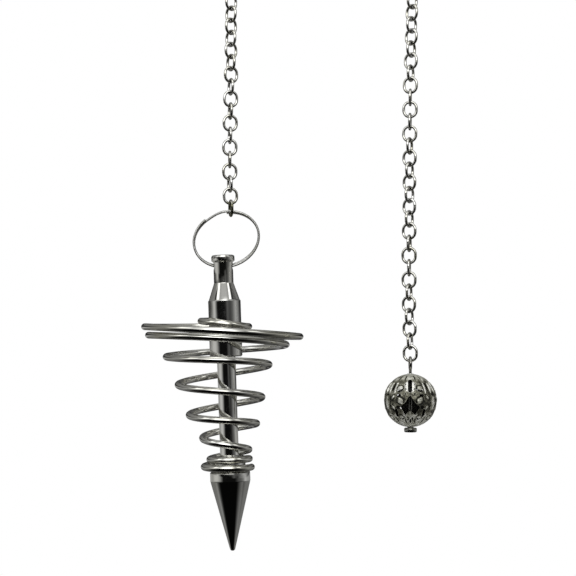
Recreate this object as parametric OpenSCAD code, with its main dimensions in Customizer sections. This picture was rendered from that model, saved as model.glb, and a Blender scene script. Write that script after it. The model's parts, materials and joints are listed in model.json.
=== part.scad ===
/* [Chain] */
// Links in the whole chain, an even number
link_count = 76; // [66:2:84]
// Outer length of one link
link_l = 3.86; // [3.6:0.01:4.3]
// Outer width of one link
link_w = 3.35; // [3.1:0.05:3.55]
// Thickness of the link wire
link_wire = 0.53; // [0.45:0.01:0.58]
// Radius of the bend over the hanging point
bend_r = 20.15; // [18:0.05:25]
// Drop from the hanging point to the link that holds the ring
pendant_drop = 73.4; // [60:0.1:85]

/* [Split ring] */
// Outer length of the ring, along its long axis
ring_l = 15.05; // [13.8:0.05:16.5]
// Outer width of the ring, across its long axis
ring_w = 12.6; // [11.6:0.05:13.6]
// Thickness of the ring wire
ring_wire = 0.53; // [0.45:0.01:0.58]
// Space between the two turns
ring_gap = 0.08; // [0.05:0.01:0.12]
// How much narrower the turn that carries the load is
ring_pull = 0.6; // [0.3:0.05:0.8]
// Rise of the long axis above level
ring_tilt = 18; // [0:1:30]

/* [Cap] */
// Diameter of the lip
lip_d = 5.1; // [4.6:0.05:5.6]
// Height of the lip
lip_h = 1.3; // [1.1:0.05:1.8]
// Diameter of the neck
neck_d = 4.3; // [3.9:0.05:4.6]
// Diameter of the hole across the neck
hole_d = 1.7; // [1.6:0.05:2.2]
// Length of the neck below the middle of the hole
neck_l = 3.7; // [2.8:0.1:4.8]
// Diameter at the foot of the sloping shoulder
shoulder_d = 6.8; // [5.6:0.1:7.1]
// Height of the sloping shoulder
shoulder_h = 3.7; // [2.5:0.1:5]
// Diameter of the barrel
barrel_d = 7.15; // [6.6:0.05:8]
// Length of the barrel
barrel_l = 12.5; // [10:0.1:15]

/* [Stem] */
// Diameter of the stem
stem_d = 4.1; // [3:0.1:5]
// Length of the stem that shows
stem_l = 21.7; // [18:0.1:26]
// Depth of the stem in each socket
socket_l = 4.5; // [3:0.1:5.5]

/* [Point] */
// Diameter of the collar
collar_d = 6.9; // [6.2:0.05:7.6]
// Height of the collar
collar_h = 3.4; // [2.8:0.1:4.5]
// Diameter of the band above the cone
band_d = 8.8; // [8.2:0.1:10]
// Height of the band
band_h = 2; // [1.2:0.1:3]
// Length of the cone
cone_l = 15.25; // [11:0.05:20]
// Diameter of the blunt tip
tip_d = 1.1; // [0.6:0.05:2]

/* [Coil] */
// Thickness of the coil wire
coil_wire = 1.5; // [1.2:0.05:1.6]
// Reach of the widest turn from the pendant's axis
coil_reach = 18.4; // [14:0.1:22]
// Distance of the first turn below the barrel's upper edge
coil_drop = 4.3; // [3.5:0.1:6]

/* [Ball] */
// Diameter of the pierced ball
ball_d = 11.8; // [10:0.1:14]
// Thickness of its wall
ball_wall = 0.45; // [0.35:0.05:0.7]
// Thickness of the eye pin
pin_d = 0.65; // [0.55:0.05:0.8]
// Outer diameter of the pin's eye
eye_d = 3.2; // [2.9:0.05:3.8]
// Length of pin between the eye and the ball
eye_neck = 0.6; // [0.3:0.1:2]
// Diameter of the pin's head
head_d = 2.8; // [2:0.1:3.6]
// Height of the pin's head
head_h = 1; // [0.6:0.1:1.6]

/* [Fit] */
// Clearance between loose pieces
slip = 0.11; // [0.1:0.01:0.12]
// Clearance round the stem in its sockets
socket_gap = 0.05; // [0.03:0.01:0.1]
// Lean of the pendant from upright
lean = 2; // [0:0.5:4]

/* [Hidden] */
$fn = 64;

// Chain: each strand's share of its way down, left and right shift, left and right turn
strand_route = [
    [0, 0, 0, 45, 45],
    [0.14, 0, -0.35, 45, 45],
    [0.3, -0.05, -0.65, 45, 30],
    [0.45, 0, -0.85, 38, 20],
    [0.75, -0.25, -1.05, 5, 4],
    [0.88, -0.25, -1.1, 0, 0],
    [1, 0, -0.85, 0, 0]
];
link_r = (link_w - link_wire) / 2;
link_straight = link_l - link_w;
link_pitch = link_l - 2 * link_wire - slip;
quarter = 90 * bend_r * PI / 180;
left_end = -(quarter + pendant_drop - bend_r);
right_end = left_end + (link_count - 1) * link_pitch;

// Split ring: half axes of the loose and the tight turn
ring_a = (ring_l - ring_wire) / 2;
loose_b = (ring_w - ring_wire) / 2;
tight_b = loose_b - ring_pull / 2;
ring_step = ring_wire + ring_gap;
ring_cut_deg = 95;
ring_cut_share = 0.055;
ring_steps = 72;
wire_sides = 10;

// Places on the tight turn: its top in the link and the stretch that carries the neck
link_seat = seat(link_r - link_wire / 2, ring_wire, ring_step);
ring_top = drop_of(tight_b, ring_tilt);
ring_x = -bend_r - drift_of(tight_b, ring_tilt);
ring_z = -pendant_drop - link_straight / 2 - link_seat - ring_top;
neck_drop = drop_of(tight_b, ring_tilt - lean);
neck_drift = drift_of(tight_b, ring_tilt - lean);
neck_bend_r = pow(ring_a * tight_b, 2) / pow(neck_drop, 3);
neck_rise = neck_bend_r - sqrt(pow(neck_bend_r, 2) - pow(neck_d / 2, 2));
hole_seat = seat(hole_d / 2, ring_wire, ring_step) - neck_rise;

// Cap, measured up and down from the middle of the hole
lip_flare = 0.3;
hole_web = 0.05;
lip_edge = 0.5;
lip_foot = hole_d / 2 + hole_web + lip_flare;
cap_top = lip_foot + lip_h;
shoulder_z = -neck_l - shoulder_h;
barrel_chamfer = 0.25;
cap_foot = shoulder_z - barrel_l;

// Point, below the stem
collar_top = cap_foot - stem_l;
band_top = collar_top - collar_h;
cone_top = band_top - band_h;
tip_z = cone_top - cone_l;
point_chamfer = 0.2;

// Coil: one row for each half turn, right side first, with the shares of its height and its reach
coil_rows = [
    [0, 0], [0.005, 0.065],
    [0.053, 0.042], [0.03, 1],
    [0.133, 0.904], [0.088, 0.94],
    [0.184, 0.67], [0.237, 0.662],
    [0.315, 0.376], [0.428, 0.481],
    [0.532, 0.242], [0.635, 0.316],
    [0.709, 0.141], [0.795, 0.11],
    [0.882, 0], [0.94, 0.003],
    [0.944, 0.002], [0.988, 0.1],
    [1, 0.033]
];
coil_start = 0.4;
coil_steps = 14;
coil_top = shoulder_z - coil_drop;
coil_foot = band_top + coil_wire / 2 + slip;
coil_r = coil_reach - coil_wire / 2;
coil_top_r = (barrel_d + coil_wire) / 2 + slip;
coil_foot_r = (collar_d + coil_wire) / 2 + slip;

// Eye pin and ball, below the last link
last_link = chain_point(right_end);
eye_r = (eye_d - pin_d) / 2;
eye_top = last_link[1] - link_straight / 2 - seat(link_r - link_wire / 2, pin_d, 0);
eye_z = eye_top - eye_r;
ball_z = eye_z - eye_d / 2 - eye_neck - ball_d / 2;
eye_turn = 90 * (link_count % 2);
head_edge = 0.3;

// Ball: kind of opening, degrees round, degrees up, width and height as shares of the diameter
ball_repeats = 3;
ball_turn = -5;
openings = [
    ["slot", 0, 36, 0.08, 0.29],
    ["star", 0, -10, 0.42, 0.42],
    ["moon", 25, 28, 0.14, 0.14],
    ["moon", -25, 28, 0.14, 0.14],
    ["dot", 10.5, 16, 0.034, 0.034],
    ["dot", -10.5, 16, 0.034, 0.034],
    ["dot", 10.5, 27, 0.03, 0.03],
    ["dot", -10.5, 27, 0.03, 0.03],
    ["dot", 12, 38, 0.028, 0.028],
    ["dot", -12, 38, 0.028, 0.028],
    ["bar", 26, 12.5, 0.1, 0.055],
    ["bar", -26, 12.5, 0.1, 0.055],
    ["slot", 45, 32, 0.04, 0.2],
    ["slot", -45, 32, 0.04, 0.2],
    ["slot", 34, -26, 0.06, 0.17],
    ["slot", -34, -26, 0.06, 0.17],
    ["moon", 24, -38, 0.1, 0.1],
    ["moon", -24, -38, 0.1, 0.1],
    ["slot", 0, -48, 0.035, 0.11],
    ["moon", 60, -40, 0.1, 0.1]
];

// Corners of the right half of a star, from its top point down: degrees, distance as a share of its width
star_half = [[90, 0.48], [38, 0.27], [-10, 0.47], [-36, 0.4], [-62, 0.5], [-90, 0.22]];

function unit(v) = v / norm(v);
function column(table, c) = [for (row = table) [row[0], row[c]]];

// Depth at which a pair of wires, step apart, rests in a round hole of radius r
function seat(r, wire, step) = sqrt(pow(r - wire / 2 - slip, 2) - pow(step / 2, 2));

// Half height of a tilted oval, and how far sideways its highest point lies
function drop_of(b, tilt) = sqrt(pow(ring_a * sin(tilt), 2) + pow(b * cos(tilt), 2));
function drift_of(b, tilt) = (pow(ring_a, 2) - pow(b, 2)) * sin(tilt) * cos(tilt) / drop_of(b, tilt);

// Points of an arc, for a turned outline
function arc(cx, cz, r, from, to, steps = 6) =
    [for (k = [0:steps]) let (a = from + (to - from) * k / steps) [cx + r * cos(a), cz + r * sin(a)]];

// Share of the way down a strand, and the chain's line as [x, z] at a distance from the apex
function strand_share(s) =
    s < 0 ? (s + quarter) / (left_end + quarter) : (s - quarter) / (right_end - quarter);
function strand_value(s, side) = lookup(strand_share(s), column(strand_route, s < 0 ? side : side + 1));
function chain_point(s) =
    abs(s) <= quarter
    ? [bend_r * sin(s / quarter * 90), bend_r * cos(s / quarter * 90) - bend_r]
    : [sign(s) * bend_r + strand_value(s, 1), quarter - abs(s) - bend_r];

// Value of a coil column at place j, by a curve that never overshoots its rows
function step_of(c, j) = coil_rows[j + 1][c] - coil_rows[j][c];
function slope_of(c, j) =
    j == 0 || j == len(coil_rows) - 1 ? 0
    : step_of(c, j - 1) * step_of(c, j) <= 0 ? 0
    : 2 * step_of(c, j - 1) * step_of(c, j) / (step_of(c, j - 1) + step_of(c, j));
function blend_of(c, k, t) =
    coil_rows[k][c] + step_of(c, k) * t * t * (3 - 2 * t)
    + slope_of(c, k) * t * (1 - t) * (1 - t) - slope_of(c, k + 1) * t * t * (1 - t);
function coil_value(c, j) = let (k = min(floor(j), len(coil_rows) - 2)) blend_of(c, k, j - k);
function coil_point(j) =
    let (
        drop = coil_value(0, j),
        inner = coil_top_r + (coil_foot_r - coil_top_r) * drop,
        r = inner + (coil_r - inner) * coil_value(1, j),
        turn = 180 * (j - 1)
    )
    [-r * cos(turn), -r * sin(turn), coil_top + (coil_foot - coil_top) * drop];

// Point of the split ring after u turns: one flat turn, a step aside, then the other
function ring_side(u) = let (t = min(max((u - 0.95) / 0.1, 0), 1)) t * t * (3 - 2 * t);
function ring_point(u) =
    let (
        a = ring_cut_deg + 360 * u,
        b = loose_b + (tight_b - loose_b) * ring_side(u)
    )
    [ring_a * cos(a), (ring_side(u) - 0.5) * ring_step, b * sin(a)];

// Round wire along a path, closed at both ends
module wire(path, d, up) {
    last = len(path) - 1;
    points = [
        for (i = [0:last])
            let (
                along = unit(path[min(i + 1, last)] - path[max(i - 1, 0)]),
                out = unit(cross(up, along)),
                over = cross(along, out)
            )
            for (k = [0:wire_sides - 1])
                let (a = 360 * k / wire_sides)
                path[i] + d / 2 * (cos(a) * out + sin(a) * over)
    ];
    sides = [
        for (i = [0:last - 1])
            for (k = [0:wire_sides - 1])
                let (n = (k + 1) % wire_sides, i0 = i * wire_sides, i1 = i0 + wire_sides)
                [i0 + k, i1 + k, i1 + n, i0 + n]
    ];
    start = [for (k = [0:wire_sides - 1]) k];
    end = [for (k = [0:wire_sides - 1]) (last + 1) * wire_sides - 1 - k];
    polyhedron(points, concat([start], sides, [end]));
}

module turned(outline) {
    rotate_extrude() polygon(outline);
}

// Places its children in the pendant's frame, with the middle of the neck's hole as the origin
module in_pendant() {
    translate([ring_x, 0, ring_z])
        rotate([0, -lean, 0])
            translate([-neck_drift, 0, -neck_drop - hole_seat])
                children();
}

// Half of a link's round end, drawn in the XZ plane
module link_end() {
    translate([0, 0, link_straight / 2])
        rotate([90, 0, 0])
            rotate_extrude(angle = 180) translate([link_r, 0]) circle(d = link_wire);
}

module link() {
    link_end();
    mirror([0, 0, 1]) link_end();
    for (side = [-1, 1])
        translate([side * link_r, 0, 0]) cylinder(d = link_wire, h = link_straight, center = true);
}

module chain() {
    color("silver")
        for (i = [0:link_count - 1]) {
            s = left_end + i * link_pitch;
            ahead = chain_point(s + link_pitch / 4) - chain_point(s - link_pitch / 4);
            turn = (abs(s) < quarter ? strand_route[0][3] : strand_value(s, 3)) + 90 * ((i + 1) % 2);
            translate([chain_point(s)[0], 0, chain_point(s)[1]])
                rotate([0, atan2(ahead[0], ahead[1]), 0])
                    rotate([0, 0, turn])
                        link();
        }
}

module split_ring() {
    path = [
        for (i = [0:ring_steps])
            ring_point(ring_cut_share + (2 - 2 * ring_cut_share) * i / ring_steps)
    ];
    color("gainsboro")
        translate([ring_x, 0, ring_z])
            rotate([0, -ring_tilt, 0])
                wire(path, ring_wire, [0, 1, 0]);
}

module cap() {
    outline = concat(
        [[0, cap_foot], [0, cap_top]],
        arc(lip_d / 2 - lip_edge, cap_top - lip_edge, lip_edge, 90, 0),
        [
            [lip_d / 2, lip_foot],
            [neck_d / 2, lip_foot - lip_flare],
            [neck_d / 2, -neck_l],
            [shoulder_d / 2, shoulder_z],
            [barrel_d / 2, shoulder_z - (barrel_d - shoulder_d) / 2],
            [barrel_d / 2, cap_foot + barrel_chamfer],
            [barrel_d / 2 - barrel_chamfer, cap_foot]
        ]
    );
    color("silver")
        in_pendant()
            difference() {
                turned(outline);
                rotate([0, 90, 0]) cylinder(d = hole_d, h = 2 * lip_d, center = true);
                translate([0, 0, cap_foot - 1])
                    cylinder(d = stem_d + 2 * socket_gap, h = socket_l + socket_gap + 1);
            }
}

module stem() {
    color("lightgray")
        in_pendant()
            translate([0, 0, collar_top - socket_l])
                cylinder(d = stem_d, h = stem_l + 2 * socket_l);
}

module point() {
    outline = [
        [0, collar_top],
        [collar_d / 2 - point_chamfer, collar_top],
        [collar_d / 2, collar_top - point_chamfer],
        [collar_d / 2, band_top],
        [band_d / 2 - point_chamfer, band_top],
        [band_d / 2, band_top - point_chamfer],
        [band_d / 2, cone_top],
        [tip_d / 2, tip_z + tip_d / 4],
        [tip_d / 4, tip_z],
        [0, tip_z]
    ];
    color("silver")
        in_pendant()
            difference() {
                turned(outline);
                translate([0, 0, collar_top - socket_l - socket_gap])
                    cylinder(d = stem_d + 2 * socket_gap, h = socket_l + socket_gap + 1);
            }
}

module coil() {
    places = (len(coil_rows) - 1 - coil_start) * coil_steps;
    path = [for (i = [0:places]) coil_point(coil_start + i / coil_steps)];
    color("gainsboro") in_pendant() wire(path, coil_wire, [0, 0, 1]);
}

module eye_pin() {
    head_top = ball_z - ball_d / 2 - slip / 2;
    pin_l = eye_z - eye_r - head_top + head_h / 2;
    outline = concat(
        [[0, 0], [0, head_h]],
        arc(head_d / 2 - head_edge, head_h - head_edge, head_edge, 90, 0, 4),
        arc(head_d / 2 - head_edge, head_edge, head_edge, 0, -90, 4)
    );
    color("gray")
        translate([last_link[0], 0, 0]) {
            translate([0, 0, eye_z])
                rotate([0, 90, 0])
                    rotate([eye_turn, 0, 0])
                        rotate_extrude() translate([eye_r, 0]) circle(d = pin_d);
            translate([0, 0, eye_z - eye_r - pin_l]) cylinder(d = pin_d, h = pin_l);
            translate([0, 0, head_top - head_h]) turned(outline);
        }
}

// Outline of one opening, width and height along its two axes
module opening_outline(kind, w, h) {
    round_end = [for (a = [0:30:180]) [w / 2 * cos(a), h / 2 - w / 2 + w / 2 * sin(a)]];
    if (kind == "slot")
        polygon(concat(round_end, [for (p = round_end) -p]));
    if (kind == "bar")
        rotate(90) opening_outline("slot", h, w);
    if (kind == "star") {
        right = [for (p = star_half) w * p[1] * [cos(p[0]), sin(p[0])]];
        polygon(concat(right, [for (k = [4:-1:1]) [-right[k][0], right[k][1]]]));
    }
    if (kind == "moon")
        polygon(concat(
            [for (a = [-170:20:-10]) [w / 2 * cos(a), w / 2 * sin(a)]],
            [for (a = [-5:-34:-175]) [0.32 * w * cos(a), 0.1 * h + 0.32 * w * sin(a)]]
        ));
    if (kind == "dot")
        circle(d = w, $fn = 16);
}

module ball() {
    inner_r = ball_d / 2 - ball_wall;
    color("dimgray")
        translate([last_link[0], 0, ball_z])
            difference() {
                sphere(d = ball_d);
                sphere(r = inner_r);
                cylinder(d = pin_d + 2 * slip, h = ball_d + 1, center = true);
                for (k = [0:ball_repeats - 1], hole = openings)
                    rotate([0, 0, 360 * k / ball_repeats + ball_turn + hole[1]])
                        rotate([90 - hole[2], 0, 0])
                            translate([0, 0, inner_r - 1])
                                linear_extrude(ball_wall + 2)
                                    opening_outline(hole[0], hole[3] * ball_d, hole[4] * ball_d);
            }
}

chain();
split_ring();
cap();
stem();
coil();
point();
eye_pin();
ball();
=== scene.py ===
import json
import math

import bmesh
import bpy
from mathutils import Matrix, Vector


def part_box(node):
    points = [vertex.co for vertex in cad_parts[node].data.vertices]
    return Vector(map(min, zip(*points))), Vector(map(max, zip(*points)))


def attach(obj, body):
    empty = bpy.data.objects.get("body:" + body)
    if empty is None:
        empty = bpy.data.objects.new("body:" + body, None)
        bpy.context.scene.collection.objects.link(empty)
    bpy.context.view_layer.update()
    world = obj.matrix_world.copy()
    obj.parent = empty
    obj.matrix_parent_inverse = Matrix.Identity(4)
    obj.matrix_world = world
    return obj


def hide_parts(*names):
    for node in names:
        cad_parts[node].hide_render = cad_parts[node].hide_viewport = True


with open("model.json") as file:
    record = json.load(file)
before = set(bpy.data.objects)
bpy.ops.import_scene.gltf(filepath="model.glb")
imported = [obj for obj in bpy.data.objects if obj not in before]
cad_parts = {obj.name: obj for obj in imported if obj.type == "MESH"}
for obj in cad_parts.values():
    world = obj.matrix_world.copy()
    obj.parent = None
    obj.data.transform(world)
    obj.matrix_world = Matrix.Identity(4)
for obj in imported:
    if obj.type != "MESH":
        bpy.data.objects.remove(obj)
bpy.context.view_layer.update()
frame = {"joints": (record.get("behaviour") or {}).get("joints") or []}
print("frame loaded")

# Sizes are in millimetres where no note says metres; each piece's mesh is scaled when it is finished
mm = 0.001
# Corners closer than this are merged, in a finished mesh and in a lathed one
sameSpot = 1e-5
sameRing = 1e-4


def smoothStep(t):
    t = min(max(t, 0), 1)
    return t * t * (3 - 2 * t)


def between(table, column, x):  # straight line between the rows of a table
    for low, high in zip(table, table[1:]):
        if x <= high[0]:
            share = (x - low[0]) / (high[0] - low[0])
            return low[column] + (high[column] - low[column]) * max(share, 0)
    return table[-1][column]


def meshOf(name, bm):  # uses the shape up
    mesh = bpy.data.meshes.new(name)
    bm.to_mesh(mesh)
    bm.free()
    return mesh


def newObject(name, data):
    made = bpy.data.objects.new(name, data)
    bpy.context.collection.objects.link(made)
    return made


def shapeOf(holder):  # an object's mesh with its bevel or modifiers
    bpy.context.view_layer.update()
    made = holder.evaluated_get(bpy.context.evaluated_depsgraph_get()).to_mesh()
    bm = bmesh.new()
    bm.from_mesh(made)
    return bm


def finishPiece(name, bm, material, body, node, sharpAngle, flatFaces=False, place=None):
    if place is not None:
        bmesh.ops.transform(bm, matrix=place, verts=bm.verts)
    bmesh.ops.remove_doubles(bm, verts=bm.verts, dist=sameSpot)
    bmesh.ops.recalc_face_normals(bm, faces=bm.faces)
    bmesh.ops.scale(bm, vec=(mm, mm, mm), verts=bm.verts)
    mesh = meshOf(name, bm)
    mesh.shade_smooth()
    mesh.set_sharp_from_angle(angle=math.radians(sharpAngle))
    mesh.materials.append(material)
    piece = newObject(name, mesh)
    if flatFaces:  # broad faces keep their own shading beside rounded edges
        normals = piece.modifiers.new("normals", "WEIGHTED_NORMAL")
        normals.keep_sharp = True
        normals.weight = 100
    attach(piece, body)
    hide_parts(node)
    print(name, len(mesh.polygons), "faces")


def turnedShape(outline, steps, edge, angle):  # lathe, then its ring edges are rounded
    bm = bmesh.new()
    corners = [bm.verts.new((r, 0, z)) for r, z in outline]
    for a, b in zip(corners, corners[1:]):
        bm.edges.new((a, b))
    bmesh.ops.spin(bm, geom=bm.verts[:] + bm.edges[:], cent=(0, 0, 0), axis=(0, 0, 1),
                   angle=math.tau, steps=steps, use_merge=True)
    bmesh.ops.remove_doubles(bm, verts=bm.verts, dist=sameRing)
    bmesh.ops.recalc_face_normals(bm, faces=bm.faces)
    rings = [e for e in bm.edges
             if len(e.link_faces) == 2 and e.calc_face_angle() > math.radians(angle)
             and abs(e.verts[0].co.z - e.verts[1].co.z) < sameRing]
    bmesh.ops.bevel(bm, geom=rings, offset=edge, affect="EDGES", segments=3,
                    profile=0.5, material=-1, clamp_overlap=True)
    return bm


def arcPoints(x, z, r, start, end, steps=6):
    turns = [math.radians(start + (end - start) * k / steps) for k in range(steps + 1)]
    return [(x + r * math.cos(a), z + r * math.sin(a)) for a in turns]


def wireShape(paths, diameter, sides, ease=0, shares=None):  # round wire, closed where no end is eased
    curve = bpy.data.curves.new("wire", "CURVE")
    curve.dimensions = "3D"
    curve.twist_mode = "MINIMUM"
    curve.bevel_depth = diameter / 2
    curve.bevel_resolution = sides
    curve.use_fill_caps = ease > 0
    radius = diameter / 2
    reach = ease * radius
    for path in paths:
        line = curve.splines.new("POLY")
        line.points.add(len(path) - 1)
        line.use_cyclic_u = ease == 0
        lengths = [0]
        for a, b in zip(path, path[1:]):
            lengths.append(lengths[-1] + (b - a).length)
        for k, (spot, place) in enumerate(zip(line.points, path)):
            spot.co = (*place, 1)
            spot.radius = shares[k] if shares else 1
            toEnd = min(lengths[k], lengths[-1] - lengths[k])
            if toEnd < reach:
                spot.radius = (radius - reach + math.sqrt(reach ** 2 - (reach - toEnd) ** 2)) / radius
    holder = newObject("wire", curve)
    bm = shapeOf(holder)
    bpy.data.objects.remove(holder)
    bpy.data.curves.remove(curve)
    return bm


def cutWire(path, diameter, sides, ease, steps=5, clear=1.5):  # one wire with both ends cut and eased
    reach = ease * diameter / 2

    def close(first, second):
        along = (second - first).normalized()
        turns = [math.radians(90 * k / steps) for k in range(steps + 1)]
        return [first + along * reach * (1 - math.cos(a)) for a in turns]

    head = close(path[0], path[1])
    tail = close(path[-1], path[-2])
    inner = [p for p in path[1:-1]
             if min((p - path[0]).length, (p - path[-1]).length) > clear * reach]
    return wireShape([head + inner + tail[::-1]], diameter, sides, ease)


def cutAway(bm, drill, solver="EXACT"):  # takes the second shape out of the first
    blank, tool = (newObject(name, meshOf(name, shape)) for name, shape in (("blank", bm), ("drill", drill)))
    cut = blank.modifiers.new("cut", "BOOLEAN")
    cut.object = tool
    cut.solver = solver
    made = shapeOf(blank)
    for helper in (blank, tool):
        bpy.data.objects.remove(helper)
    return made


def addNode(tree, kind, **values):  # its settings, and its inputs as constants or links
    node = tree.nodes.new(kind)
    for key, value in values.items():
        if hasattr(node, key):
            setattr(node, key, value)
        else:
            feed(tree, value, node.inputs[key.replace("_", " ")])
    return node


def feed(tree, value, socket):
    if isinstance(value, bpy.types.NodeSocket):
        tree.links.new(value, socket)
    else:
        socket.default_value = value


def workOut(tree, kind, operation, *values):
    node = addNode(tree, kind, operation=operation)
    for value, socket in zip(values, node.inputs):
        feed(tree, value, socket)
    return node.outputs["Value"]


def noiseOf(tree, place, scale, detail, **values):
    noise = addNode(tree, "ShaderNodeTexNoise", Vector=place, Scale=scale, Detail=detail, **values)
    return noise.outputs["Fac"]


def rangeOf(tree, value, low, high, toLow=0, toHigh=1, kind="LINEAR"):
    return addNode(tree, "ShaderNodeMapRange", interpolation_type=kind, Value=value, From_Min=low,
                   From_Max=high, To_Min=toLow, To_Max=toHigh).outputs["Result"]


def mixOf(tree, share, first, second):
    return addNode(tree, "ShaderNodeMix", data_type="RGBA", Factor=share, A=first, B=second).outputs["Result"]


def rampOf(tree, value, stops):  # each stop is a place on the ramp and a colour
    ramp = addNode(tree, "ShaderNodeValToRGB", Fac=value)
    line = ramp.color_ramp
    while len(line.elements) < len(stops):
        line.elements.new(0.5)
    for element, (place, colour) in zip(line.elements, stops):
        element.position = place
        element.color = (*colour, 1)
    return ramp.outputs["Color"]


def newMaterial(name, metal, centre=(0, 0, 0), turn=(0, 0, 0)):  # with places told from a centre
    material = bpy.data.materials.new(name)
    material.use_nodes = True
    tree = material.node_tree
    shader = next(n for n in tree.nodes if n.type == "BSDF_PRINCIPLED")
    shader.inputs["Metallic"].default_value = metal
    place = addNode(tree, "ShaderNodeMapping", vector_type="TEXTURE",
                    Vector=addNode(tree, "ShaderNodeTexCoord").outputs["Object"],
                    Location=[v * mm for v in centre], Rotation=[math.radians(v) for v in turn])
    return material, tree, shader, place.outputs["Vector"]


def reliefOf(tree, place, look):  # marks of the tool, then soft dents
    stretched = addNode(tree, "ShaderNodeMapping", Vector=place, Scale=look["markStretch"]).outputs["Vector"]
    marks = addNode(tree, "ShaderNodeBump", Strength=1, Distance=look["markDepth"] * mm,
                    Height=noiseOf(tree, stretched, look["markScale"], 2))
    dents = addNode(tree, "ShaderNodeBump", Strength=1, Distance=look["dentDepth"] * mm,
                    Height=noiseOf(tree, place, look["dentScale"], 1), Normal=marks.outputs["Normal"])
    return dents.outputs["Normal"]


# Noise values between which patches and smudges come in
patchEdges = (0.35, 0.75)
smudgeEdges = (0.35, 0.8)


def metalFinish(name, look, centre=(0, 0, 0), turn=(0, 0, 0)):
    material, tree, shader, place = newMaterial(name, 1, centre, turn)

    # colour: clean plate with faint warm patches
    patches = noiseOf(tree, place, look["patchScale"], 4, Roughness=0.6)
    colour = rampOf(tree, patches, list(zip(patchEdges, (look["colour"], look["tarnish"]))))
    if "contactShade" in look:  # painted shade: darker where two links meet, for the shade each casts on the other
        contactShadeMask = addNode(tree, "ShaderNodeAttribute", attribute_name="contactShade").outputs["Fac"]
        colour = mixOf(tree, contactShadeMask, colour, (*look["contactShade"], 1))
    if "darkPatch" in look:  # one place painted darker
        spot = [v * mm for v in look["darkPatchPlace"]]
        away = workOut(tree, "ShaderNodeVectorMath", "DISTANCE", place, spot)
        outsidePatch = rangeOf(tree, away, *(v * mm for v in look["darkPatchReach"]))
        colour = mixOf(tree, outsidePatch, (*look["darkPatch"], 1), colour)
    feed(tree, colour, shader.inputs["Base Color"])

    # roughness: smudges
    smudges = noiseOf(tree, place, look["smudgeScale"], 6, Roughness=0.65, Distortion=0.6)
    feed(tree, rangeOf(tree, smudges, *smudgeEdges, *look["roughness"]), shader.inputs["Roughness"])
    feed(tree, reliefOf(tree, place, look), shader.inputs["Normal"])
    return material


# Where the pendant's parts are: the middle of the hole across its neck, and its lean
pendant = {"lean": 2, "hole": [v / mm for v in next(
    j["pos_m"] for j in frame["joints"] if j["name"] == "pendant_swing")]}
pendantPlace = Matrix.Translation(pendant["hole"]) @ Matrix.Rotation(math.radians(-pendant["lean"]), 4, "Y")

# Each look: clean and tarnished colour, the least and most roughness, and the relief of marks and dents. Each
# scale is noise per metre
plateLook = {
    "colour": (0.80, 0.80, 0.785), "tarnish": (0.70, 0.69, 0.63), "patchScale": 90,
    "roughness": (0.035, 0.13), "smudgeScale": 420,
    "markStretch": (0.03, 0.03, 1), "markScale": 9000, "markDepth": 0.0006,
    "dentScale": 260, "dentDepth": 0.003,
}
wireLook = {
    "colour": (0.86, 0.86, 0.84), "tarnish": (0.66, 0.64, 0.54), "patchScale": 70,
    "roughness": (0.03, 0.1), "smudgeScale": 500,
    "markStretch": (1, 1, 1), "markScale": 1500, "markDepth": 0.0004,
    "dentScale": 260, "dentDepth": 0.012,
}
ringLook = {
    "colour": (0.64, 0.64, 0.63), "tarnish": (0.4, 0.4, 0.36), "patchScale": 160,
    "roughness": (0.3, 0.42), "smudgeScale": 700,
    "markStretch": (1, 1, 1), "markScale": 2500, "markDepth": 0.0004,
    "dentScale": 500, "dentDepth": 0.005,
}
chainLook = {
    "colour": (0.9, 0.9, 0.88), "tarnish": (0.60, 0.58, 0.48), "patchScale": 160,
    "roughness": (0.07, 0.22), "smudgeScale": 900,
    "markStretch": (1, 1, 1), "markScale": 2500, "markDepth": 0.0004,
    # the contact colour is painted shade, near black where two links meet
    "dentScale": 700, "dentDepth": 0.006, "contactShade": (0.05, 0.05, 0.04),
    # the link at the ring, dark olive in the photo, painted darker: the dark patch's middle, and how far it
    # is full and has gone
    "darkPatch": (0.2, 0.2, 0.14), "darkPatchPlace": (-20.15, 0, -74.4), "darkPatchReach": (2.4, 2.8),
}
pinLook = {
    "colour": (0.50, 0.50, 0.47), "tarnish": (0.22, 0.22, 0.19), "patchScale": 300,
    "roughness": (0.12, 0.32), "smudgeScale": 900,
    "markStretch": (1, 1, 0.1), "markScale": 5000, "markDepth": 0.001,
    "dentScale": 900, "dentDepth": 0.01,
}
plate = metalFinish("plated brass", plateLook, pendant["hole"], (0, -pendant["lean"], 0))
spiralWire = metalFinish("spiral wire", wireLook)
ringWire = metalFinish("ring wire", ringLook)
chainWire = metalFinish("chain wire", chainLook)
pinWire = metalFinish("pin wire", pinLook)
print("materials made")

# Heights on the cap, stem, point and spiral are along the pendant's axis, from the middle of its cross hole,
# and widths are radii, to the middle of the wire in the spiral
cap = {"top": 2.5, "lip": 2.55, "lipEdge": 0.45, "lipFoot": 1.2, "neckTop": 0.9, "neck": 2.15,
       "neckFoot": -3.7, "shoulder": 3.4, "shoulderFoot": -7.4, "shoulderEase": 0.175, "barrel": 3.575,
       "foot": -19.9, "footEase": 0.25, "socket": 2.1, "socketTop": -15.35, "hole": 0.85, "drill": 12,
       "drillSides": 72, "steps": 144, "edge": 0.07, "edgeAngle": 15}


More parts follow.
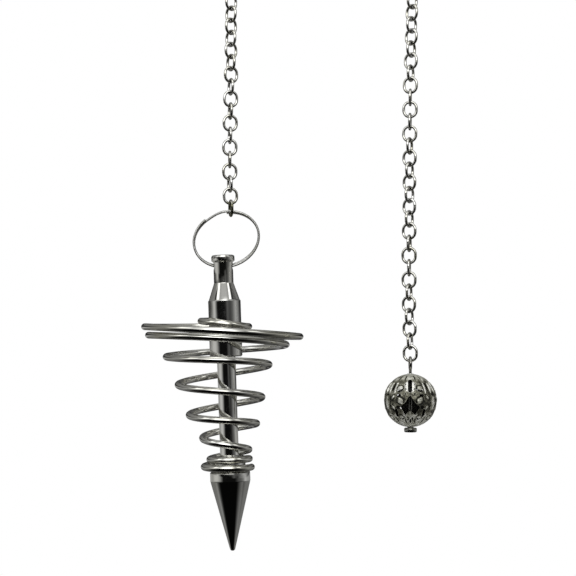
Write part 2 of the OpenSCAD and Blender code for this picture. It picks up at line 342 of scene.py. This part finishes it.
def makeCap():
    outline = [(0, cap["top"])]
    outline += arcPoints(cap["lip"] - cap["lipEdge"], cap["top"] - cap["lipEdge"], cap["lipEdge"], 90, 0)
    outline += [
        (cap["lip"], cap["lipFoot"]),
        (cap["neck"], cap["neckTop"]),
        (cap["neck"], cap["neckFoot"]),
        (cap["shoulder"], cap["shoulderFoot"]),
        (cap["barrel"], cap["shoulderFoot"] - cap["shoulderEase"]),
        (cap["barrel"], cap["foot"] + cap["footEase"]),
        (cap["barrel"] - cap["footEase"], cap["foot"]),
        (cap["socket"], cap["foot"]),
        (cap["socket"], cap["socketTop"]),
        (0, cap["socketTop"]),
    ]
    drill = bmesh.new()  # along X, across the neck
    bmesh.ops.create_cone(drill, cap_ends=True, segments=cap["drillSides"], radius1=cap["hole"],
                          radius2=cap["hole"], depth=cap["drill"],
                          matrix=Matrix.Rotation(math.radians(90), 4, "Y"))
    return cutAway(turnedShape(outline, cap["steps"], cap["edge"], cap["edgeAngle"]), drill)


finishPiece("turnedCap", makeCap(), plate, "pendant", "cap", sharpAngle=28,
            flatFaces=True, place=pendantPlace)

stem = {"radius": 2.05, "top": -15.4, "foot": -46.1, "steps": 128, "edge": 0.1, "edgeAngle": 12}


def makeStem():
    r, top, foot = stem["radius"], stem["top"], stem["foot"]
    outline = [(0, top), (r, top), (r, foot), (0, foot)]
    return turnedShape(outline, stem["steps"], stem["edge"], stem["edgeAngle"])


finishPiece("turnedStem", makeStem(), plate, "pendant", "stem", sharpAngle=35,
            flatFaces=True, place=pendantPlace)

point = {"top": -41.6, "collar": 3.45, "bandTop": -45, "band": 4.4, "coneTop": -47, "tip": -62.25,
         "tipRadius": 0.55, "socket": 2.1, "socketFoot": -46.15, "ease": 0.2, "steps": 144, "edge": 0.07,
         "edgeAngle": 10}


def makePoint():
    outline = [
        (0, point["socketFoot"]),
        (point["socket"], point["socketFoot"]),
        (point["socket"], point["top"]),
        (point["collar"] - point["ease"], point["top"]),
        (point["collar"], point["top"] - point["ease"]),
        (point["collar"], point["bandTop"]),
        (point["band"] - point["ease"], point["bandTop"]),
        (point["band"], point["bandTop"] - point["ease"]),
        (point["band"], point["coneTop"]),
        (point["tipRadius"], point["tip"] + point["tipRadius"] / 2),
        (point["tipRadius"] / 2, point["tip"]),
        (0, point["tip"]),
    ]
    return turnedShape(outline, point["steps"], point["edge"], point["edgeAngle"])


finishPiece("turnedPoint", makePoint(), plate, "pendant", "point", sharpAngle=28,
            flatFaces=True, place=pendantPlace)

spiral = {
    "wire": 1.5, "reach": 17.65, "top": -11.7, "foot": -44.14, "innerTop": 4.435, "innerFoot": 4.31,
    # the row where the wire starts, and points for each half turn
    "start": 0.4, "steps": 40, "sides": 6, "ease": 0.5,
    # one row for each half turn, right side first: share of the height, share of the reach
    "rows": [
        (0, 0), (0.005, 0.065), (0.053, 0.042), (0.03, 1), (0.133, 0.904), (0.088, 0.94), (0.184, 0.67),
        (0.237, 0.662), (0.315, 0.376), (0.428, 0.481), (0.532, 0.242), (0.635, 0.316), (0.709, 0.141),
        (0.795, 0.11), (0.882, 0), (0.94, 0.003), (0.944, 0.002), (0.988, 0.1), (1, 0.033),
    ],
}


def spiralValue(column, place):  # smooth between the rows, never past them
    rows = spiral["rows"]
    last = len(rows) - 1

    def step(k):
        return rows[k + 1][column] - rows[k][column]

    def slope(k):
        if k in (0, last) or step(k - 1) * step(k) <= 0:
            return 0
        return 2 * step(k - 1) * step(k) / (step(k - 1) + step(k))

    k = min(int(place), last - 1)
    t = place - k
    return (rows[k][column] + step(k) * smoothStep(t)
            + slope(k) * t * (1 - t) ** 2 - slope(k + 1) * t * t * (1 - t))


def spiralPoint(place):
    drop, reach = spiralValue(0, place), spiralValue(1, place)
    inner = spiral["innerTop"] + (spiral["innerFoot"] - spiral["innerTop"]) * drop
    r = inner + (spiral["reach"] - inner) * reach
    turn = math.pi * (place - 1)
    z = spiral["top"] + (spiral["foot"] - spiral["top"]) * drop
    return Vector((-r * math.cos(turn), -r * math.sin(turn), z))


def makeSpiral():
    count = round((len(spiral["rows"]) - 1 - spiral["start"]) * spiral["steps"])
    path = [spiralPoint(spiral["start"] + k / spiral["steps"]) for k in range(count + 1)]
    return cutWire(path, spiral["wire"], spiral["sides"], spiral["ease"])


finishPiece("spiralCoil", makeSpiral(), spiralWire, "pendant", "coil", sharpAngle=60,
            place=pendantPlace)

# Half the ring's length, and half the width of its loose and its tight turn, to the middle of the wire. The
# tight turn lies a step behind the loose one, past a short crossing at the top
ring = {"centre": (-21.1375, 0, -80.2597), "long": 7.26, "loose": 6.035, "tight": 5.735, "wire": 0.53,
        "step": 0.61, "tilt": 18, "cut": 95, "cutShare": 0.055, "crossing": 0.1, "steps": 260, "sides": 4,
        "ease": 0.4}


def ringPoint(u):
    side = smoothStep((u - 1) / ring["crossing"] + 0.5)
    across = ring["loose"] + (ring["tight"] - ring["loose"]) * side
    a = math.radians(ring["cut"] + 360 * u)
    return Vector((ring["long"] * math.cos(a), (side - 0.5) * ring["step"], across * math.sin(a)))


def makeRing():
    span = 2 - 2 * ring["cutShare"]
    path = [ringPoint(ring["cutShare"] + span * k / ring["steps"]) for k in range(ring["steps"] + 1)]
    return cutWire(path, ring["wire"], ring["sides"], ring["ease"])


ringPlace = Matrix.Translation(ring["centre"]) @ Matrix.Rotation(math.radians(-ring["tilt"]), 4, "Y")
finishPiece("splitRing", makeRing(), ringWire, "ring", "split_ring", sharpAngle=60,
            place=ringPlace)

chain = {
    # to the middle of the wire, a link's ends have the reach as radius, and its sides are twice the half long
    "links": 76, "reach": 1.41, "half": 0.255, "pitch": 2.69, "wire": 0.6,
    # the radius of the bend over the hang point, and how far below that the link at the ring hangs
    "bend": 20.15, "drop": 73.4,
    # share of the way down, left and right shift
    "route": [
        (0, 0, 0), (0.14, 0, -0.35), (0.3, -0.05, -0.65), (0.45, 0, -0.85),
        (0.75, -0.25, -1.05), (0.88, -0.25, -1.1), (1, 0, -0.85),
    ],
    # link, counted from the ring, and its turn in degrees: even links from edge on, odd ones from face on
    "turns": [
        (0, 14), (1, 8), (2, 16), (4, 5), (6, 10), (9, 16), (10, 20), (13, 40), (15, 45), (48, 45), (50, 38),
        (52, 28), (54, 7), (56, 9), (58, 24), (60, 33), (62, 38), (64, 34), (66, 16), (67, 10), (68, 10),
        (70, 24), (72, 34), (73, 30), (74, 22), (75, 14),
    ],
    # the wire's thickness at the seam, and the points beside it as shares of the straight side's half
    "endSteps": 16, "sides": 4, "seam": 0.8, "seamEdges": (0.3, 0.12),
    # the painted shade on the inner side of each end: how far past the wire's middle and from the link's, and
    # the fades
    "contactShadeRim": 0.08, "contactShadeReach": 1, "rimFade": 0.25, "reachFade": 0.4,
}
chainQuarter = math.pi / 2 * chain["bend"]
chainStart = -(chainQuarter + chain["drop"] - chain["bend"])
chainEnd = chainStart + (chain["links"] - 1) * chain["pitch"]


def strandShift(s):
    end, column = (chainStart, 1) if s < 0 else (chainEnd, 2)
    return between(chain["route"], column, (abs(s) - chainQuarter) / (abs(end) - chainQuarter))


def chainPoint(s):
    if abs(s) <= chainQuarter:
        a = s / chainQuarter * math.pi / 2
        return Vector((chain["bend"] * math.sin(a), 0, chain["bend"] * math.cos(a) - chain["bend"]))
    side = math.copysign(chain["bend"], s)
    return Vector((side + strandShift(s), 0, chainQuarter - abs(s) - chain["bend"]))


def makeLink():
    r, half, steps = chain["reach"], chain["half"], chain["endSteps"]
    edge, core = chain["seamEdges"]
    top = [Vector((x, 0, z)) for x, z in arcPoints(0, half, r, 0, 180, steps)]
    seam = [Vector((-r, 0, half * share)) for share in (edge, core, 0, -core, -edge)]
    foot = [Vector((x, 0, z)) for x, z in arcPoints(0, -half, r, 180, 360, steps)]
    shares = [1] * len(top) + [1, 1, chain["seam"], 1, 1] + [1] * len(foot)
    bm = wireShape([top + seam + foot], chain["wire"], chain["sides"], shares=shares)
    contactShade = bm.verts.layers.float.new("contactShade")
    for v in bm.verts:  # painted shade: 1 on the inner side of both ends, where the next link lies and shades it
        inward = r + chain["contactShadeRim"] - math.hypot(v.co.x, max(abs(v.co.z) - half, 0))
        near = smoothStep((chain["contactShadeReach"] - abs(v.co.x)) / chain["reachFade"])
        v[contactShade] = smoothStep(inward / chain["rimFade"]) * near * (abs(v.co.z) > half)
    return bm


def makeChain():
    link = meshOf("link", makeLink())
    bm = bmesh.new()
    for k in range(chain["links"]):
        s = chainStart + k * chain["pitch"]
        ahead = chainPoint(s + chain["pitch"] / 4) - chainPoint(s - chain["pitch"] / 4)
        turn = between(chain["turns"], 1, k) + 90 * ((k + 1) % 2)
        known = len(bm.verts)
        bm.from_mesh(link)
        bm.verts.ensure_lookup_table()
        place = (Matrix.Translation(chainPoint(s)) @ Matrix.Rotation(math.atan2(ahead.x, ahead.z), 4, "Y")
                 @ Matrix.Rotation(math.radians(turn), 4, "Z"))
        bmesh.ops.transform(bm, matrix=place, verts=bm.verts[known:])
    return bm


finishPiece("cableChain", makeChain(), chainWire, "hanger", "chain", sharpAngle=60)

ball = {
    "radius": 5.9, "wall": 0.45, "relief": 0.16, "deep": 0.12, "rim": 0.1, "rimSides": 2, "repeats": 3,
    "turn": -5, "steps": (360, 172), "insideSteps": (96, 48),
    # kind, degrees round, degrees up, width and height as shares of the diameter
    "openings": [
        ("slot", 0, 36, 0.08, 0.29), ("star", 0, -10, 0.42, 0.42), ("moon", 25, 28, 0.14, 0.14),
        ("moon", -25, 28, 0.14, 0.14), ("dot", 10.5, 16, 0.034, 0.034), ("dot", -10.5, 16, 0.034, 0.034),
        ("dot", 10.5, 27, 0.03, 0.03), ("dot", -10.5, 27, 0.03, 0.03), ("dot", 12, 38, 0.028, 0.028),
        ("dot", -12, 38, 0.028, 0.028), ("bar", 26, 12.5, 0.1, 0.055), ("bar", -26, 12.5, 0.1, 0.055),
        ("slot", 45, 32, 0.04, 0.2), ("slot", -45, 32, 0.04, 0.2), ("slot", 34, -26, 0.06, 0.17),
        ("slot", -34, -26, 0.06, 0.17), ("moon", 24, -38, 0.1, 0.1), ("moon", -24, -38, 0.1, 0.1),
        ("slot", 0, -48, 0.035, 0.11), ("moon", 60, -40, 0.1, 0.1),
    ],
    # how far below the inside a drill starts, and its height
    "drillFoot": 1, "drillHeight": 2.5,
    # corners of a star's right half from its top point: degrees, distance as a share of its width
    "star": [(90, 0.48), (38, 0.27), (-10, 0.47), (-36, 0.4), (-62, 0.5), (-90, 0.22)], "starEase": 0.22,
    # a moon's arcs: first and last degrees, and steps; the middle of the inner one is up by a share of the
    # height, and its radius is a share of the width
    "moonOuter": (-170, -10, 12), "moonInner": (-5, -175, 10), "moonRise": 0.1, "moonShare": 0.32,
    "slotSteps": 8, "dotSides": 16,
    # the pin's hole through both caps, and the collar round it
    "pinHole": 0.435, "pinDrill": 14, "pinSides": 32, "collar": 0.6, "collarSteps": 48, "collarShare": 2,
    # raised places: degrees round, degrees up, half width and half height in degrees, share of the relief
    "raised": [
        (0, 34, 15, 19, 0.85), (37, 30, 2, 17, 1), (-37, 30, 2, 17, 1), (53, 30, 2, 17, 1),
        (-53, 30, 2, 17, 1), (0, -31, 3.5, 10, 0.5), (60, -4, 6, 18, 0.7), (60, 34, 3, 14, 0.5),
    ],
    # petals and discs, each in a crease: the same five values, then the lean and how round it is
    "petals": [
        (22, 1, 7.5, 11, 0.4, 35, 1.3), (-22, 1, 7.5, 11, 0.6, -35, 1.3), (25, 30, 7, 6, 0.6, 0, 2),
        (-25, 30, 7, 6, 0.7, 0, 2), (24, -36.5, 6, 5, 0.5, 0, 2), (-24, -36.5, 6, 5, 0.5, 0, 2),
        (60, -38.5, 6, 5, 0.6, 0, 2), (41, 8, 3.5, 7, 0.6, -30, 1.3), (-41, 8, 3.5, 7, 0.7, 30, 1.3),
        (40, -14, 3.5, 7, 0.5, 30, 1.3), (-40, -14, 3.5, 7, 0.6, -30, 1.3),
    ],
    # grooves: degrees round, degrees up, half width and half height in degrees, share of the depth
    "grooves": [
        (49, -5, 2, 18, 1), (-49, -5, 2, 18, 1), (28, -14, 5, 5, 1), (-28, -14, 5, 5, 1),
        (6, -41, 1.6, 6, 1), (-6, -41, 1.6, 6, 1), (14, -47, 2, 9, 0.6), (-14, -47, 2, 9, 0.6),
        (42, -47, 2, 12, 0.8), (-42, -47, 2, 12, 0.8), (18, 60, 2, 12, 0.6), (-18, 60, 2, 12, 0.6),
        (42, 60, 2, 12, 0.6), (-42, 60, 2, 12, 0.6), (60, 14, 6, 2.5, 0.8),
    ],
    # how steep the sides of each kind are, and the crease round a petal: its place, steepness and depth
    "raisedSlope": 2.5, "petalSlope": 2.2, "grooveSlope": 2,
    "creaseAt": 1.12, "creaseSlope": 4, "creaseDepth": 0.7,
    # plain ground and caps, shares of the relief; where the caps begin, degrees up, the width of each one's
    # edge, and the scallops of the low one
    "ground": 0.1, "capRise": 0.4, "caps": (-28, 50), "capEdges": (3, 16), "scallops": 15, "scallopDepth": 4,
}
# The eye's degrees are from its lowest point. The pin stands in its head by the seat, and bends below the eye
pin = {"wire": 0.65, "eye": 1.275, "eyeStart": 35, "eyeEnd": 348, "eyeSteps": 48, "sides": 4, "ease": 0.4,
       "neck": 0.6, "bend": 0.3, "bendTop": 0.02, "bendLead": 1.5, "bendSteps": 5, "seat": 0.3, "rise": 3,
       "rises": 4, "head": 2.8, "headHeight": 1, "headEdge": 0.3, "headSteps": 64, "headEase": 0.02,
       "headAngle": 60, "gap": 0.055}
lastLink = chainPoint(chainEnd)
ballTop, ballFoot = (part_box("ball")[k].z / mm for k in (1, 0))
ballCentre = Vector((lastLink.x, 0, (ballTop + ballFoot) / 2))
eyeRise = pin["neck"] + pin["eye"] + pin["wire"] / 2
eyeCentre = Vector((lastLink.x, 0, ballCentre.z + ball["radius"] + eyeRise))


def openingOutline(kind, w, h, grow=0):  # corner points of one opening, with a star's sharp corners eased
    if kind == "bar":
        return [(-y, x) for x, y in openingOutline("slot", h, w, grow)]
    if kind == "slot":
        end = arcPoints(0, h / 2 - w / 2, w / 2 + grow, 0, 180, ball["slotSteps"])
        return end + [(-x, -y) for x, y in end]
    if kind == "moon":
        return (arcPoints(0, 0, w / 2 + grow, *ball["moonOuter"])
                + arcPoints(0, ball["moonRise"] * h, ball["moonShare"] * w - grow, *ball["moonInner"]))
    if kind == "dot":
        sides = ball["dotSides"]
        return arcPoints(0, 0, w / 2 + grow, 0, 360 - 360 / sides, sides - 1)
    right = [((w * r + grow) * math.cos(math.radians(a)), (w * r + grow) * math.sin(math.radians(a)))
             for a, r in ball["star"]]
    bm = bmesh.new()
    bm.faces.new([bm.verts.new((x, y, 0)) for x, y in right + [(-x, y) for x, y in right[-2:0:-1]]])
    bmesh.ops.bevel(bm, geom=bm.verts[:], offset=ball["starEase"], affect="VERTICES", segments=4,
                    profile=0.5, material=-1)
    outline = [(v.co.x, v.co.y) for v in bm.faces[:][0].verts]
    bm.free()
    return outline


def onBall(x, y, radius):
    return Vector((x, y, math.sqrt(max(radius ** 2 - x * x - y * y, 0))))


def placedOpenings():
    for k in range(ball["repeats"]):
        for kind, turn, rise, w, h in ball["openings"]:
            turn += ball["turn"] + 360 * k / ball["repeats"]
            place = (Matrix.Rotation(math.radians(turn), 4, "Z")
                     @ Matrix.Rotation(math.radians(90 - rise), 4, "X"))
            yield kind, place, w * 2 * ball["radius"], h * 2 * ball["radius"]


def ballRelief(turn, rise):  # height above the base at this place
    unit = 360 / ball["repeats"]
    turn = (turn - ball["turn"] + unit / 2) % unit - unit / 2

    def away(around, up, halfWidth, halfHeight, lean=0, bow=2):  # 0 in the middle of a form, 1 at its edge
        aside = ((turn - around + unit / 2) % unit - unit / 2) * math.cos(math.radians(rise))
        c, s = math.cos(math.radians(lean)), math.sin(math.radians(lean))
        across, along = abs(aside * c - (rise - up) * s), abs(aside * s + (rise - up) * c)
        return ((across / halfWidth) ** bow + (along / halfHeight) ** bow) ** (1 / bow)

    low, high = ball["caps"]
    lowEdge, highEdge = ball["capEdges"]
    low -= ball["scallopDepth"] * math.cos(math.radians(ball["scallops"] * turn))
    onCap = max(smoothStep((low - rise) / lowEdge), smoothStep((rise - high) / highEdge + 0.5))
    level = ball["ground"] + ball["capRise"] * onCap
    deep = 0
    for *place, share in ball["raised"]:
        level = max(level, share * smoothStep((1 - away(*place)) * ball["raisedSlope"]))
    for *place, share, lean, bow in ball["petals"]:
        distance = away(*place, lean, bow)
        crease = smoothStep(1 - abs(distance - ball["creaseAt"]) * ball["creaseSlope"])
        deep = max(deep, ball["creaseDepth"] * crease)
        if distance < 1:
            level = share * smoothStep((1 - distance) * ball["petalSlope"])
    for *place, share in ball["grooves"]:
        deep = max(deep, share * smoothStep((1 - away(*place)) * ball["grooveSlope"]))
    return ball["relief"] * level * (1 - deep) - ball["deep"] * deep


def ballPlace(point):  # degrees round, degrees up
    return math.degrees(math.atan2(point.x, -point.y)), math.degrees(math.asin(point.z / point.length))


def makeShell(base):
    bm = bmesh.new()
    around, up = ball["steps"]
    bmesh.ops.create_uvsphere(bm, u_segments=around, v_segments=up, radius=base)
    for v in bm.verts:
        v.co *= 1 + ballRelief(*ballPlace(v.co)) / base
    inside = bmesh.new()
    around, up = ball["insideSteps"]
    bmesh.ops.create_uvsphere(inside, u_segments=around, v_segments=up, radius=ball["radius"] - ball["wall"])
    return cutAway(bm, inside, "MANIFOLD")


def makeDrills():
    bm = bmesh.new()
    foot = ball["radius"] - ball["wall"] - ball["drillFoot"]
    for kind, place, w, h in placedOpenings():
        face = bm.faces.new([bm.verts.new((x, y, foot)) for x, y in openingOutline(kind, w, h)])
        grown = bmesh.ops.extrude_face_region(bm, geom=[face])["geom"]
        top = [g for g in grown if isinstance(g, bmesh.types.BMVert)]
        bmesh.ops.translate(bm, vec=(0, 0, ball["drillHeight"]), verts=top)
        bmesh.ops.transform(bm, matrix=place, verts=list(face.verts) + top)
    bmesh.ops.create_cone(bm, cap_ends=True, segments=ball["pinSides"], radius1=ball["pinHole"],
                          radius2=ball["pinHole"], depth=ball["pinDrill"])
    bmesh.ops.recalc_face_normals(bm, faces=bm.faces)
    return bm


def makeBall():
    base = ball["radius"] - ball["relief"]
    bm = cutAway(makeShell(base), makeDrills(), "MANIFOLD")
    half = ball["rim"] / 2
    high = ball["radius"] - half

    def rimPoint(point):  # on the relief beside the opening
        return point.normalized() * min(base + max(ballRelief(*ballPlace(point)), 0), high)

    def collarLine(side):
        r = ball["collar"]
        z = side * math.sqrt(high ** 2 - r ** 2)
        turns = [math.tau * k / ball["collarSteps"] for k in range(ball["collarSteps"])]
        return [Vector((r * math.cos(a), r * math.sin(a), z)) for a in turns]

    rims = [[rimPoint(place @ onBall(x, y, ball["radius"])) for x, y in openingOutline(kind, w, h, half)]
            for kind, place, w, h in placedOpenings()]
    for lines, share in ((rims, 1), ([collarLine(1), collarLine(-1)], ball["collarShare"])):
        bm.from_mesh(meshOf("rim", wireShape(lines, ball["rim"] * share, ball["rimSides"])))
    return bm


def makePin():  # upright at x = 0, at the ball's height
    headTop = ballCentre.z - ball["radius"] - pin["gap"]
    foot = headTop - pin["seat"]
    low = eyeCentre.z - pin["eye"]

    def onEye(degrees):
        a = math.radians(degrees)
        return Vector((0, pin["eye"] * math.sin(a), eyeCentre.z - pin["eye"] * math.cos(a)))

    straight = [foot + pin["rise"] * k for k in range(pin["rises"])]
    straight += [low - pin["bendLead"] * pin["bend"], low - pin["bend"]]
    bend = [Vector((0, 0, low - pin["bend"])), Vector((0, 0, low + pin["bendTop"])), onEye(pin["eyeStart"])]
    path = [Vector((0, 0, z)) for z in straight]
    path += [bend[0] * (1 - t) ** 2 + bend[1] * 2 * t * (1 - t) + bend[2] * t * t
             for t in (k / pin["bendSteps"] for k in range(1, pin["bendSteps"]))]
    path += [onEye(pin["eyeStart"] + (pin["eyeEnd"] - pin["eyeStart"]) * k / pin["eyeSteps"])
             for k in range(pin["eyeSteps"] + 1)]
    bm = cutWire(path, pin["wire"], pin["sides"], pin["ease"])
    headFoot = headTop - pin["headHeight"]
    r, edge = pin["head"] / 2, pin["headEdge"]
    outline = [(0, headTop)] + arcPoints(r - edge, headTop - edge, edge, 90, 0)
    outline += arcPoints(r - edge, headFoot + edge, edge, 0, -90) + [(0, headFoot)]
    bm.from_mesh(meshOf("head", turnedShape(outline, pin["headSteps"], pin["headEase"], pin["headAngle"])))
    return bm


antiqueLook = {
    "metal": 0.65, "roughness": (0.18, 0.4),
    "markStretch": (1, 1, 1), "markScale": 4000, "markDepth": 0.004,
    "dentScale": 1900, "dentDepth": 0.16,
    # how much uneven grime shifts the heights, its scale, and the range of heights round the radius
    "grime": 0.24, "grimeScale": 900, "range": 0.13,
    # colour by height: place on the ramp, colour
    "heights": [(0.25, (0.01, 0.01, 0.008)), (0.45, (0.13, 0.127, 0.095)), (0.65, (0.42, 0.42, 0.36)),
                (0.9, (0.72, 0.72, 0.69))],
}


def antiqueFinish(name, look, centre, radius):  # dark in the hollows, bright on the raised edges
    material, tree, shader, place = newMaterial(name, look["metal"], centre)
    grime = noiseOf(tree, place, look["grimeScale"], 5)
    reach = workOut(tree, "ShaderNodeVectorMath", "LENGTH", place)
    shifted = workOut(tree, "ShaderNodeMath", "MULTIPLY_ADD", grime, look["grime"] * mm, reach)
    height = rangeOf(tree, shifted, (radius - look["range"]) * mm, (radius + look["range"]) * mm)
    smooth, rough = look["roughness"]
    feed(tree, rampOf(tree, height, look["heights"]), shader.inputs["Base Color"])
    feed(tree, rangeOf(tree, height, 0, 1, rough, smooth), shader.inputs["Roughness"])
    feed(tree, reliefOf(tree, place, look), shader.inputs["Normal"])
    return material


antique = antiqueFinish("antique silver", antiqueLook, ballCentre, ball["radius"])
finishPiece("piercedBall", makeBall(), antique, "hanger", "ball", sharpAngle=40,
            place=Matrix.Translation(ballCentre))
finishPiece("eyePin", makePin(), pinWire, "hanger", "eye_pin", sharpAngle=50,
            place=Matrix.Translation((lastLink.x, 0, 0)))

# What the metal mirrors, in bands from straight down to straight up. A polished wall shows a band as upright
# stripes, and each wall of the pendant has its own: "under" the cone, "stemLevel" the stem, "level" the
# barrel, "neckLevel" the neck, "slope" the shoulder. A stop is degrees round, with 0 behind the camera and 90
# at its right, and brightness
bands = {
    "nadir": [(-180, 0.004), (-150, 0.05), (-118, 0.12), (-100, 0.01), (-90, 0.002), (90, 0.002), (105, 0.03),
              (118, 0.12), (150, 0.05), (180, 0.004)],
    "under": [(-180, 0.15), (-138, 0.2), (-119, 0.17), (-105, 0.26), (-92, 0.25), (-81, 0.08), (-70, 0.01),
              (-60, 0.002), (44, 0.002), (51, 0.012), (60, 0.05), (70, 0.11), (92, 0.22), (105, 0.26),
              (119, 0.22), (138, 0.16), (180, 0.15)],
    "low": [(-180, 0.02), (-165, 0.05), (-150, 0.18), (-110, 0.2), (-98, 0.1), (-88, 0.05), (-75, 0.01),
            (-60, 0.002), (58, 0.002), (70, 0.02), (90, 0.08), (110, 0.18), (150, 0.18), (165, 0.05),
            (180, 0.02)],
    "stemLevel": [(-180, 0.3), (-146, 0.42), (-116, 0.37), (-96, 0.58), (-79, 0.6), (-64, 0.43),
                  (-50, 0.15), (-40, 0.005), (30, 0.005), (39, 0.03), (52, 0.08), (66, 0.11), (82, 0.21),
                  (99, 0.5), (120, 0.35), (150, 0.3), (180, 0.3)],
    "level": [(-180, 0.08), (-138, 0.06), (-122, 0.05), (-108, 0.11), (-96, 0.22), (-86, 0.42), (-77, 0.6),
              (-68, 0.45), (-60, 0.18), (-51, 0.006), (8, 0.005), (18, 0.06), (25, 0.1), (32, 0.05),
              (46, 0.04), (56, 0.13), (74, 0.22), (90, 0.38), (100, 0.42), (112, 0.26), (126, 0.1),
              (140, 0.06), (180, 0.08)],
    "neckLevel": [(-180, 0.03), (-138, 0.02), (-112, 0.03), (-93, 0.09), (-77, 0.19), (-63, 0.19),
                  (-49, 0.07), (-40, 0.02), (-30, 0.03), (-10, 0.05), (0, 0.07), (11, 0.055), (22, 0.11),
                  (33, 0.07), (45, 0.07), (60, 0.13), (74, 0.28), (89, 0.42), (107, 0.24), (130, 0.06),
                  (150, 0.01), (180, 0.02)],
    "rise": [(-180, 0.08), (-150, 0.16), (-110, 0.22), (-88, 0.26), (-74, 0.8), (-62, 1.5), (-44, 0.8),
             (-30, 1.6), (-15, 3.2), (18, 3), (28, 0.8), (36, 0.25), (50, 0.25), (62, 0.8), (76, 0.35),
             (95, 0.16), (125, 0.22), (150, 0.12), (180, 0.08)],
    "slope": [(-180, 0.07), (-150, 0.2), (-110, 0.25), (-88, 0.3), (-84, 0.05), (-70, 0.05), (-66, 1.6),
              (-48, 1.6), (-43, 0.4), (-20, 0.5), (20, 0.5), (43, 0.34), (47, 1.6), (62, 1.6), (68, 0.05),
              (84, 0.05), (90, 0.12), (180, 0.07)],
    "zenith": [(-180, 0.8), (-155, 0.5), (-130, 0.2), (-60, 0.5), (-45, 0.8), (-25, 2), (25, 2), (42, 0.6),
               (60, 0.4), (130, 0.2), (155, 0.5), (180, 0.8)],
}
# How far up a direction points where each band begins and has taken over from the one below, -1 to 1
climb = {"under": (-0.56, -0.52), "low": (-0.43, -0.39), "stemLevel": (-0.2, -0.12), "level": (-0.03, -0.012),
         "neckLevel": (0.032, 0.04), "rise": (0.14, 0.24), "slope": (0.46, 0.5), "zenith": (0.68, 0.74)}
# How much of the brightness is left in the blue, for faintly warm surroundings
bandBlue = 0.985


def makeWorld():
    world = bpy.data.worlds.new("studio")
    bpy.context.scene.world = world
    world.use_nodes = True
    tree = world.node_tree
    tree.nodes.clear()
    direction = addNode(tree, "ShaderNodeSeparateXYZ",
                        Vector=addNode(tree, "ShaderNodeTexCoord").outputs["Generated"]).outputs
    towards = workOut(tree, "ShaderNodeMath", "MULTIPLY", direction["Y"], -1)
    angle = workOut(tree, "ShaderNodeMath", "ARCTAN2", direction["X"], towards)
    share = rangeOf(tree, angle, -math.pi, math.pi)

    def bandColour(name):
        return rampOf(tree, share, [(degrees / 360 + 0.5, (value, value, value * bandBlue))
                                    for degrees, value in bands[name]])

    colour = bandColour("nadir")
    for name, (low, high) in climb.items():
        taken = rangeOf(tree, direction["Z"], low, high, kind="SMOOTHSTEP")
        colour = mixOf(tree, taken, colour, bandColour(name))
    mirrored = addNode(tree, "ShaderNodeBackground", Strength=1, Color=colour).outputs[0]
    pale = addNode(tree, "ShaderNodeBackground", Strength=1, Color=(1, 1, 1, 1)).outputs[0]
    rays = addNode(tree, "ShaderNodeLightPath")  # the camera itself sees plain white
    mix = addNode(tree, "ShaderNodeMixShader", Fac=rays.outputs["Is Camera Ray"])
    feed(tree, mirrored, mix.inputs[1])
    feed(tree, pale, mix.inputs[2])
    addNode(tree, "ShaderNodeOutputWorld", Surface=mix.outputs[0])


# Metres; the floor fades to white between the two distances
floorLook = {"radius": 2.5, "z": -0.32, "steps": 96, "colour": (0.93, 0.93, 0.93, 1), "roughness": 0.9,
             "fade": (0.5, 1.1)}


def makeFloor():
    bm = bmesh.new()
    bmesh.ops.create_circle(bm, cap_ends=True, segments=floorLook["steps"], radius=floorLook["radius"],
                            matrix=Matrix.Translation((0, 0, floorLook["z"])))
    floor = newObject("floor", meshOf("floor", bm))
    material, tree, shader, place = newMaterial("pale floor", 0)
    feed(tree, floorLook["colour"], shader.inputs["Base Color"])
    feed(tree, floorLook["roughness"], shader.inputs["Roughness"])
    distance = workOut(tree, "ShaderNodeVectorMath", "LENGTH", place)
    far = rangeOf(tree, distance, *floorLook["fade"], kind="SMOOTHSTEP")
    glow = addNode(tree, "ShaderNodeEmission", Strength=1, Color=(1, 1, 1, 1))
    mix = addNode(tree, "ShaderNodeMixShader", Fac=far)
    feed(tree, shader.outputs[0], mix.inputs[1])
    feed(tree, glow.outputs[0], mix.inputs[2])
    out = next(n for n in tree.nodes if n.type == "OUTPUT_MATERIAL")
    feed(tree, mix.outputs[0], out.inputs["Surface"])
    floor.data.materials.append(material)
    floor.visible_glossy = False


# Metres and watts
lamp = {"place": (0, -0.1, 0.7), "aim": (0, 0, -0.08), "side": 0.9, "power": 14}


def makeLamp():  # a soft box that no metal mirrors
    data = bpy.data.lights.new("overhead", "AREA")
    data.shape = "SQUARE"
    data.size = lamp["side"]
    data.energy = lamp["power"]
    light = newObject("overhead", data)
    light.location = lamp["place"]
    light.rotation_euler = (Vector(lamp["aim"]) - light.location).to_track_quat("-Z", "Y").to_euler()
    light.visible_glossy = False


# Metres, with the sensor in millimetres; width is what the picture spans at the aim
view = {"distance": 0.35, "height": -0.1035, "aim": (-0.00756, 0, -0.09099), "width": 0.12672, "sensor": 36}


def makeCamera():
    data = bpy.data.cameras.new("camera")
    data.sensor_width = view["sensor"]
    camera = newObject("camera", data)
    aim = Vector(view["aim"])
    camera.location = (aim.x, -view["distance"], view["height"])
    camera.rotation_euler = (aim - camera.location).to_track_quat("-Z", "Y").to_euler()
    data.lens = view["sensor"] * (aim - camera.location).length / view["width"]
    bpy.context.scene.camera = camera


makeWorld()
makeFloor()
makeLamp()
makeCamera()
bpy.context.scene.view_settings.view_transform = "Standard"
print("stage made")
